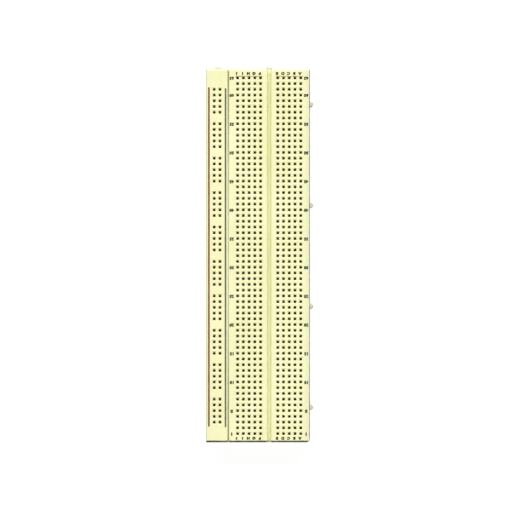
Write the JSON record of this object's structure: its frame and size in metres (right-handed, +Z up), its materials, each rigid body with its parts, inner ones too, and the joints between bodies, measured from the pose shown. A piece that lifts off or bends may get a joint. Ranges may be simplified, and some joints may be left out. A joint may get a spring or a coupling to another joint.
{
  "type": "solderless breadboard",
  "caption": "Ivory prototyping board with sprung tie points either side of a centre channel, and a dovetailed power bus strip with a red and a blue line.",
  "frame": {"origin": "on the resting surface, under the middle of the terminal strip (midway between rows 1 and 63 and between columns E and F)", "axes": "+X from column J to column A, +Y from row 1 to row 63, +Z up out of the tie points"},
  "size_m": [0.0473, 0.1665, 0.0094],
  "materials": {
    "moulded_body": "fine satin moulded ABS",
    "contact_metal": "nickel-plated sprung bronze",
    "foam_backing": "closed-cell adhesive foam",
    "liner_paper": "waxed release paper"
  },
  "bodies": {
    "bus_strip": {"bus_strip_body": "moulded_body", "bus_foam_tape": "foam_backing", "bus_release_liner": "liner_paper", "bus_clip_positive": "contact_metal", "bus_clip_negative": "contact_metal"},
    "terminal_strip": {"terminal_strip_body": "moulded_body", "terminal_foam_tape": "foam_backing", "terminal_release_liner": "liner_paper", "row_clips_f_to_j_rows_01_to_05": "contact_metal", "row_clips_f_to_j_rows_06_to_10": "contact_metal", "row_clips_f_to_j_rows_11_to_15": "contact_metal", "row_clips_f_to_j_rows_16_to_20": "contact_metal", "row_clips_f_to_j_rows_21_to_25": "contact_metal", "row_clips_f_to_j_rows_26_to_30": "contact_metal", "row_clips_f_to_j_rows_31_to_35": "contact_metal", "row_clips_f_to_j_rows_36_to_40": "contact_metal", "row_clips_f_to_j_rows_41_to_45": "contact_metal", "row_clips_f_to_j_rows_46_to_50": "contact_metal", "row_clips_f_to_j_rows_51_to_55": "contact_metal", "row_clips_f_to_j_rows_56_to_60": "contact_metal", "row_clips_f_to_j_rows_61_to_63": "contact_metal", "row_clips_a_to_e_rows_01_to_05": "contact_metal", "row_clips_a_to_e_rows_06_to_10": "contact_metal", "row_clips_a_to_e_rows_11_to_15": "contact_metal", "row_clips_a_to_e_rows_16_to_20": "contact_metal", "row_clips_a_to_e_rows_21_to_25": "contact_metal", "row_clips_a_to_e_rows_26_to_30": "contact_metal", "row_clips_a_to_e_rows_31_to_35": "contact_metal", "row_clips_a_to_e_rows_36_to_40": "contact_metal", "row_clips_a_to_e_rows_41_to_45": "contact_metal", "row_clips_a_to_e_rows_46_to_50": "contact_metal", "row_clips_a_to_e_rows_51_to_55": "contact_metal", "row_clips_a_to_e_rows_56_to_60": "contact_metal", "row_clips_a_to_e_rows_61_to_63": "contact_metal"}
  },
  "joints": [
    {"name": "terminal_strip_lift", "type": "slide", "parent": "bus_strip", "child": "terminal_strip", "axis": [0, 0, 1], "range_m": [0, 0.01]}
  ]
}
